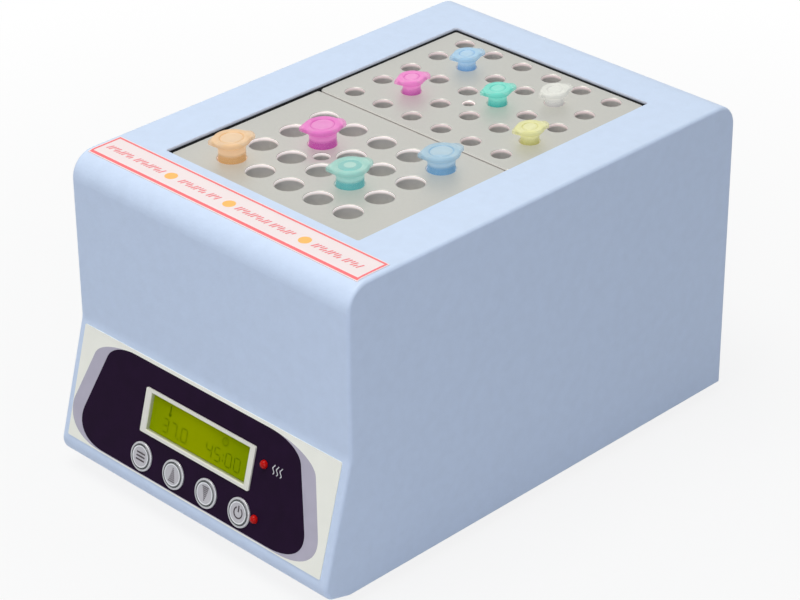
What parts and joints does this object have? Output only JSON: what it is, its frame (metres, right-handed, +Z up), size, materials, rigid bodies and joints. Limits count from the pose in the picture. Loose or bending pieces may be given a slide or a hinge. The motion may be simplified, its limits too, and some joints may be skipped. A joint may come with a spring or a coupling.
{
  "type": "dry bath incubator",
  "caption": "Bench dry bath with two lift-out aluminium tube blocks in a sheet metal housing, sloped control panel, sprung keys and a rear switch.",
  "frame": {"origin": "centre of the footprint, on the surface the rubber feet stand on", "axes": "+X to the right seen from the front, +Y from the front panel to the rear, +Z up"},
  "size_m": [0.1472, 0.2265, 0.1368],
  "materials": {
    "housing_paint": "fine textured powder coat",
    "base_paint": "powder coat",
    "rear_paint": "powder coat",
    "block_aluminium": "satin machined",
    "tray_aluminium": "machined",
    "plate_aluminium": "sheared sheet",
    "collar_black": "matt",
    "jacket_fibre": "pressed fibre felt",
    "pad_silicone": "matt moulded",
    "foot_rubber": "matt moulded",
    "overlay_film": "printed film",
    "label_film": "printed film",
    "frame_silver": "satin moulded",
    "lens_clear": "clear polished",
    "module_green": "backlit",
    "key_silver": "satin moulded",
    "ring_silver": "polished",
    "lamp_red": "clear moulded",
    "pcb_green": "lacquered",
    "chip_black": "moulded",
    "screw_steel": "zinc plated",
    "brass_plated": "nickel plated",
    "core_steel": "laminated",
    "coil_copper": "lacquered winding",
    "moulded_black": "moulded",
    "rocker_black": "moulded",
    "tube_blue": "translucent moulded",
    "tube_clear": "translucent moulded",
    "tube_green": "translucent moulded",
    "tube_pink": "translucent moulded",
    "tube_yellow": "translucent moulded",
    "tube_light_blue": "translucent moulded",
    "tube_magenta": "translucent moulded",
    "tube_teal": "translucent moulded",
    "tube_orange": "translucent moulded"
  },
  "bodies": {
    "housing": {"base_plate": "base_paint", "board_chips": "chip_black", "board_pillars": "brass_plated", "board_screws": "screw_steel", "chassis_screws": "screw_steel", "clamp_plate": "plate_aluminium", "clamp_screws": "screw_steel", "control_board": "pcb_green", "control_overlay": "overlay_film", "display_frame": "frame_silver", "display_lens": "lens_clear", "display_module": "module_green", "foot_screws": "screw_steel", "heat_sink": "plate_aluminium", "heater_pad": "pad_silicone", "heating_tray": "tray_aluminium", "indicator_lamps": "lamp_red", "inlet_blades": "brass_plated", "inlet_nuts": "screw_steel", "inlet_screws": "screw_steel", "insulation_jacket": "jacket_fibre", "key_rings": "ring_silver", "key_switches": "chip_black", "power_board": "pcb_green", "power_components": "chip_black", "power_inlet": "moulded_black", "power_standoffs": "brass_plated", "rear_panel": "rear_paint", "rubber_feet": "foot_rubber", "switch_frame": "moulded_black", "switch_terminals": "brass_plated", "switching_device": "chip_black", "temperature_sensor": "screw_steel", "thermal_cutout": "moulded_black", "top_label": "label_film", "transformer_coil": "coil_copper", "transformer_core": "core_steel", "tray_posts": "plate_aluminium", "tray_screws": "screw_steel", "upper_housing": "housing_paint", "well_collar": "collar_black"},
    "small_block": {"small_well_block": "block_aluminium"},
    "large_block": {"large_well_block": "block_aluminium"},
    "rocker": {"power_rocker": "rocker_black"},
    "mode_key": {"mode_key": "key_silver"},
    "up_key": {"up_key": "key_silver"},
    "down_key": {"down_key": "key_silver"},
    "start_stop_key": {"start_stop_key": "key_silver"},
    "small_tube_blue": {"small_tube_blue": "tube_blue"},
    "small_tube_clear": {"small_tube_clear": "tube_clear"},
    "small_tube_green": {"small_tube_green": "tube_green"},
    "small_tube_pink": {"small_tube_pink": "tube_pink"},
    "small_tube_yellow": {"small_tube_yellow": "tube_yellow"},
    "large_tube_blue": {"large_tube_blue": "tube_light_blue"},
    "large_tube_magenta": {"large_tube_magenta": "tube_magenta"},
    "large_tube_orange": {"large_tube_orange": "tube_orange"},
    "large_tube_teal": {"large_tube_teal": "tube_teal"}
  },
  "joints": [
    {"name": "mode_key_press", "type": "slide", "parent": "housing", "child": "mode_key", "axis": [0, 0.9636, -0.2672], "range_m": [0, 0.0005], "stiffness_N_per_m": 500, "springref_m": -0.0006},
    {"name": "up_key_press", "type": "slide", "parent": "housing", "child": "up_key", "axis": [0, 0.9636, -0.2672], "range_m": [0, 0.0005], "stiffness_N_per_m": 500, "springref_m": -0.0006},
    {"name": "down_key_press", "type": "slide", "parent": "housing", "child": "down_key", "axis": [0, 0.9636, -0.2672], "range_m": [0, 0.0005], "stiffness_N_per_m": 500, "springref_m": -0.0006},
    {"name": "start_stop_key_press", "type": "slide", "parent": "housing", "child": "start_stop_key", "axis": [0, 0.9636, -0.2672], "range_m": [0, 0.0005], "stiffness_N_per_m": 500, "springref_m": -0.0006},
    {"name": "rocker_tip", "type": "hinge", "parent": "housing", "child": "rocker", "pos_m": [0.016, 0.10423, 0.03], "axis": [1, 0, 0], "range_deg": [0, 16]},
    {"name": "small_block_lift", "type": "slide", "parent": "housing", "child": "small_block", "axis": [0, 0, 1], "range_m": [0, 0.05]},
    {"name": "large_block_lift", "type": "slide", "parent": "housing", "child": "large_block", "axis": [0, 0, 1], "range_m": [0, 0.05]},
    {"name": "small_tube_blue_lift", "type": "slide", "parent": "small_block", "child": "small_tube_blue", "axis": [0, 0, 1], "range_m": [0, 0.028]},
    {"name": "small_tube_clear_lift", "type": "slide", "parent": "small_block", "child": "small_tube_clear", "axis": [0, 0, 1], "range_m": [0, 0.028]},
    {"name": "small_tube_green_lift", "type": "slide", "parent": "small_block", "child": "small_tube_green", "axis": [0, 0, 1], "range_m": [0, 0.028]},
    {"name": "small_tube_pink_lift", "type": "slide", "parent": "small_block", "child": "small_tube_pink", "axis": [0, 0, 1], "range_m": [0, 0.028]},
    {"name": "small_tube_yellow_lift", "type": "slide", "parent": "small_block", "child": "small_tube_yellow", "axis": [0, 0, 1], "range_m": [0, 0.028]},
    {"name": "large_tube_blue_lift", "type": "slide", "parent": "large_block", "child": "large_tube_blue", "axis": [0, 0, 1], "range_m": [0, 0.036]},
    {"name": "large_tube_magenta_lift", "type": "slide", "parent": "large_block", "child": "large_tube_magenta", "axis": [0, 0, 1], "range_m": [0, 0.036]},
    {"name": "large_tube_orange_lift", "type": "slide", "parent": "large_block", "child": "large_tube_orange", "axis": [0, 0, 1], "range_m": [0, 0.036]},
    {"name": "large_tube_teal_lift", "type": "slide", "parent": "large_block", "child": "large_tube_teal", "axis": [0, 0, 1], "range_m": [0, 0.036]}
  ]
}
